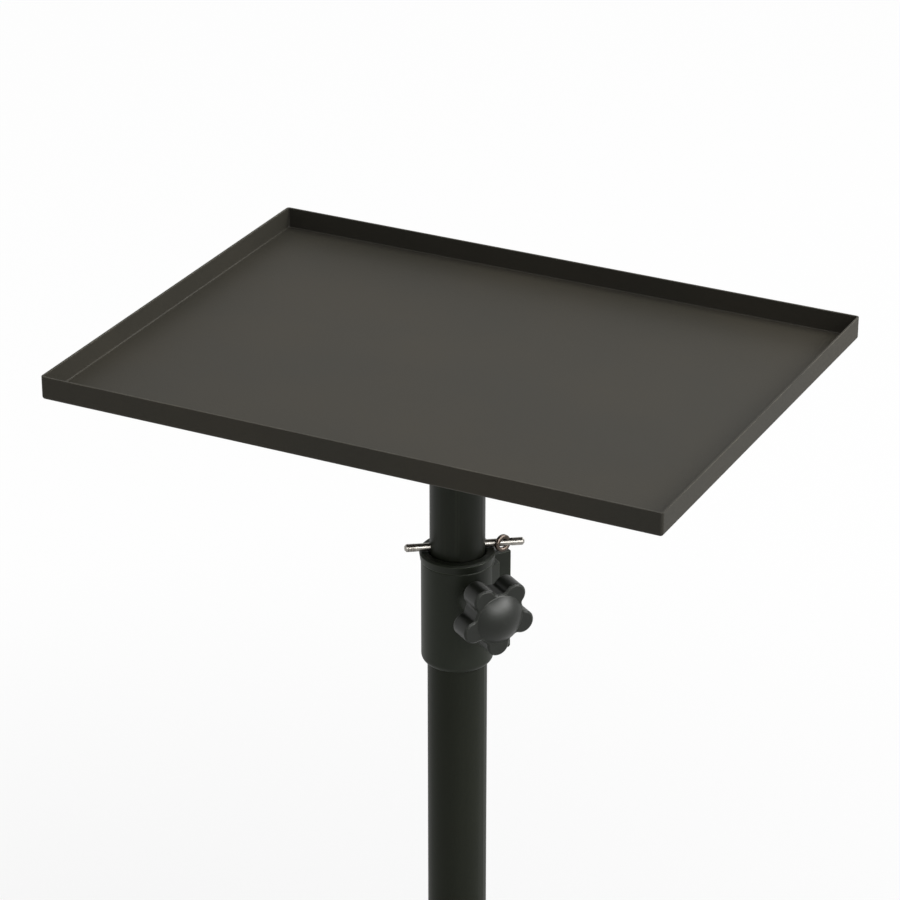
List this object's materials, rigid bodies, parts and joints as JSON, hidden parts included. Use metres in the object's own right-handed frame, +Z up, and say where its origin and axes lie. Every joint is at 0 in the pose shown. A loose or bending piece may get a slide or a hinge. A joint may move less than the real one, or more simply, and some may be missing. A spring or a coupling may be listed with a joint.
{
  "type": "portable projector stand",
  "caption": "Portable projector stand: a lipped sheet-metal tray on a telescopic mast with a safety pin, a clamp collar with a lobed knob, and a tripod base.",
  "frame": {"origin": "on the floor, under the mast's axis", "axes": "+Z up along the mast, +X along the tray's long side, +Y from its front to its back"},
  "size_m": [0.6154, 0.5364, 0.805],
  "materials": {
    "tray_coat": "matt powder coat",
    "tube_coat": "satin powder coat",
    "pin_steel": "bright plated",
    "collar_plastic": "moulded",
    "knob_plastic": "moulded, semi gloss",
    "screw_steel": "zinc plated",
    "fitting_plastic": "moulded",
    "brace_coat": "satin powder coat",
    "foot_rubber": "matt",
    "rivet_steel": "zinc plated"
  },
  "bodies": {
    "base": {"lower_tube": "tube_coat", "collar_sleeve": "collar_plastic", "collar_cap": "collar_plastic", "leg_hub": "collar_plastic", "hub_knob": "knob_plastic", "hub_screw": "screw_steel", "base_hub": "collar_plastic", "base_plug": "collar_plastic", "leg_pivot_pins": "rivet_steel", "brace_saddle_pins": "rivet_steel", "brace_base_pins": "rivet_steel", "leg_tube_1": "tube_coat", "leg_knuckle_1": "fitting_plastic", "leg_foot_1": "foot_rubber", "brace_saddle_1": "fitting_plastic", "brace_1": "brace_coat", "leg_tube_2": "tube_coat", "leg_knuckle_2": "fitting_plastic", "leg_foot_2": "foot_rubber", "brace_saddle_2": "fitting_plastic", "brace_2": "brace_coat", "leg_tube_3": "tube_coat", "leg_knuckle_3": "fitting_plastic", "leg_foot_3": "foot_rubber", "brace_saddle_3": "fitting_plastic", "brace_3": "brace_coat"},
    "mast": {"mast_tube": "tube_coat"},
    "tray": {"tray": "tray_coat", "tray_flange": "tray_coat", "tray_socket": "tray_coat"},
    "pin": {"safety_pin": "pin_steel", "pin_ring": "pin_steel"},
    "knob": {"clamp_knob": "knob_plastic", "clamp_screw": "screw_steel"}
  },
  "joints": [
    {"name": "mast_lift", "type": "slide", "parent": "base", "child": "mast", "axis": [0, 0, 1], "range_m": [0, 0.375]},
    {"name": "tray_swivel", "type": "hinge", "parent": "mast", "child": "tray", "pos_m": [0, 0, 0.79], "axis": [0, 0, 1], "continuous": true},
    {"name": "pin_pull", "type": "slide", "parent": "mast", "child": "pin", "axis": [0.8231, 0.5678, 0], "range_m": [0, 0.06]},
    {"name": "clamp_knob_turn", "type": "hinge", "parent": "base", "child": "knob", "pos_m": [0, 0, 0.6411], "axis": [0.8251, -0.565, 0], "range_deg": [0, 540]}
  ]
}
